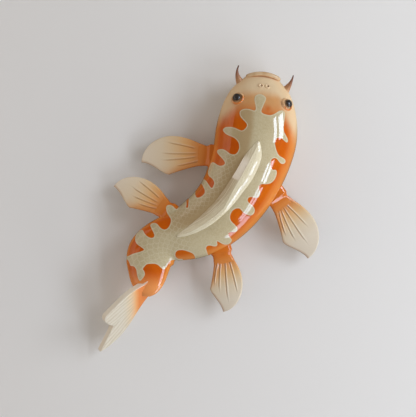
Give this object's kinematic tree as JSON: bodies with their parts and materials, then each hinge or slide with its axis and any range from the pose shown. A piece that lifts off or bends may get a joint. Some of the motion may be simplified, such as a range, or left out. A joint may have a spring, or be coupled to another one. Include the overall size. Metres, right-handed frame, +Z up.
{
  "type": "fish wall sculpture",
  "caption": "Glazed ceramic koi that hangs on a wall as if swimming upwards, seen from above, with a curved hollow body, spread fins, forked tail and keyholes in its back.",
  "frame": {"origin": "seat of the upper wall screw in its keyhole, on the wall plane", "axes": "+Z up the wall, +Y into the wall, +X to the viewer's right"},
  "size_m": [0.2457, 0.0689, 0.3162],
  "materials": {
    "cream_glaze": "gloss glaze",
    "orange_glaze": "gloss glaze",
    "fin_slip": "matte slip",
    "head_slip": "satin slip",
    "brown_glaze": "gloss glaze",
    "black_glaze": "gloss glaze",
    "raw_clay": "unglazed",
    "felt": "felt"
  },
  "bodies": {
    "root": {"back_plate": "raw_clay", "barbel_left": "brown_glaze", "barbel_right": "brown_glaze", "body_shell": "cream_glaze", "dorsal_fin": "cream_glaze", "eye_left": "black_glaze", "eye_right": "black_glaze", "eye_rim_left": "head_slip", "eye_rim_right": "head_slip", "lip": "head_slip", "nostril_left": "head_slip", "nostril_right": "head_slip", "pectoral_left_cuff": "orange_glaze", "pectoral_left_fin": "fin_slip", "pectoral_right_cuff": "orange_glaze", "pectoral_right_fin": "fin_slip", "pelvic_left_cuff": "orange_glaze", "pelvic_left_fin": "fin_slip", "pelvic_right_cuff": "orange_glaze", "pelvic_right_fin": "fin_slip", "tail_fin": "fin_slip", "wall_pad_head": "felt", "wall_pad_left": "felt", "wall_pad_right": "felt"}
  },
  "joints": []
}
